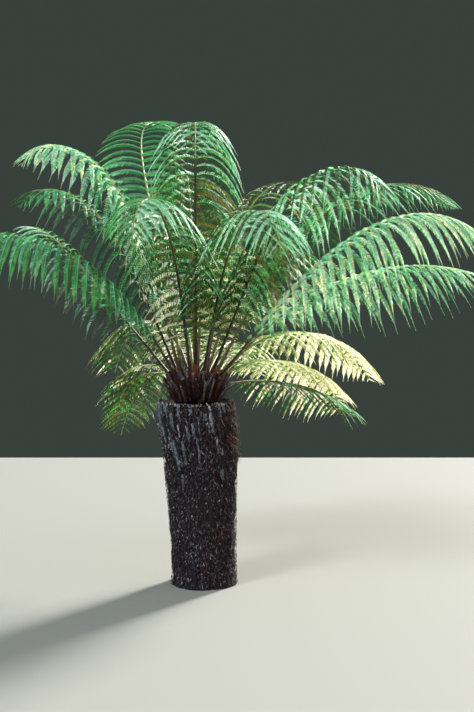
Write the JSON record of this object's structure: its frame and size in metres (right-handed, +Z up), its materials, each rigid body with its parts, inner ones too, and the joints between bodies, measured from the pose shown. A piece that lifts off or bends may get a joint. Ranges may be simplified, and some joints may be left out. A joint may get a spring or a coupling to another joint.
{
  "type": "tree fern",
  "caption": "Tree fern with a short thick fibrous trunk, a cluster of cut stalk bases and a wide crown of arching feathered fronds, on a flat cut at ground level.",
  "frame": {"origin": "middle of the flat cut under the trunk, at ground level", "axes": "+Z up; +X to the right and +Y away as the plant is seen from its front"},
  "size_m": [2.5727, 2.119, 2.2622],
  "materials": {
    "bark": "rough fibrous trunk, dark purple-brown with grey flecks and pale blue-grey stub faces",
    "stalk": "hairy dark red-brown stalk bases that turn olive brown and then green",
    "leaf": "satin mid green, a little bluish above and yellower below",
    "leaf_sunlit": "satin yellow-green leaves of the low far side"
  },
  "bodies": {
    "root": {"trunk": "bark", "crown": "stalk", "frond_01_lower": "leaf", "frond_01_upper": "leaf", "frond_02_lower": "leaf", "frond_02_upper": "leaf", "frond_03_lower": "leaf", "frond_03_upper": "leaf", "frond_04_lower": "leaf", "frond_04_upper": "leaf", "frond_05_lower": "leaf", "frond_05_upper": "leaf", "frond_06_lower": "leaf", "frond_06_upper": "leaf", "frond_07_lower": "leaf", "frond_07_upper": "leaf", "frond_08_lower": "leaf", "frond_08_upper": "leaf", "frond_09_lower": "leaf", "frond_09_upper": "leaf", "frond_10_lower": "leaf", "frond_10_upper": "leaf", "frond_11_lower": "leaf_sunlit", "frond_11_upper": "leaf_sunlit", "frond_12_lower": "leaf_sunlit", "frond_12_upper": "leaf_sunlit", "frond_13_lower": "leaf_sunlit", "frond_13_upper": "leaf_sunlit", "frond_14_lower": "leaf", "frond_14_upper": "leaf", "frond_15_lower": "leaf", "frond_15_upper": "leaf", "frond_16_lower": "leaf", "frond_16_upper": "leaf", "frond_17_lower": "leaf", "frond_17_upper": "leaf", "frond_18_lower": "leaf", "frond_18_upper": "leaf", "frond_19_lower": "leaf_sunlit", "frond_19_upper": "leaf_sunlit", "frond_20_lower": "leaf_sunlit", "frond_20_upper": "leaf_sunlit", "frond_21_lower": "leaf", "frond_21_upper": "leaf", "frond_22_lower": "leaf", "frond_22_upper": "leaf", "frond_23_lower": "leaf", "frond_23_upper": "leaf", "frond_24_lower": "leaf", "frond_24_upper": "leaf"}
  },
  "joints": []
}
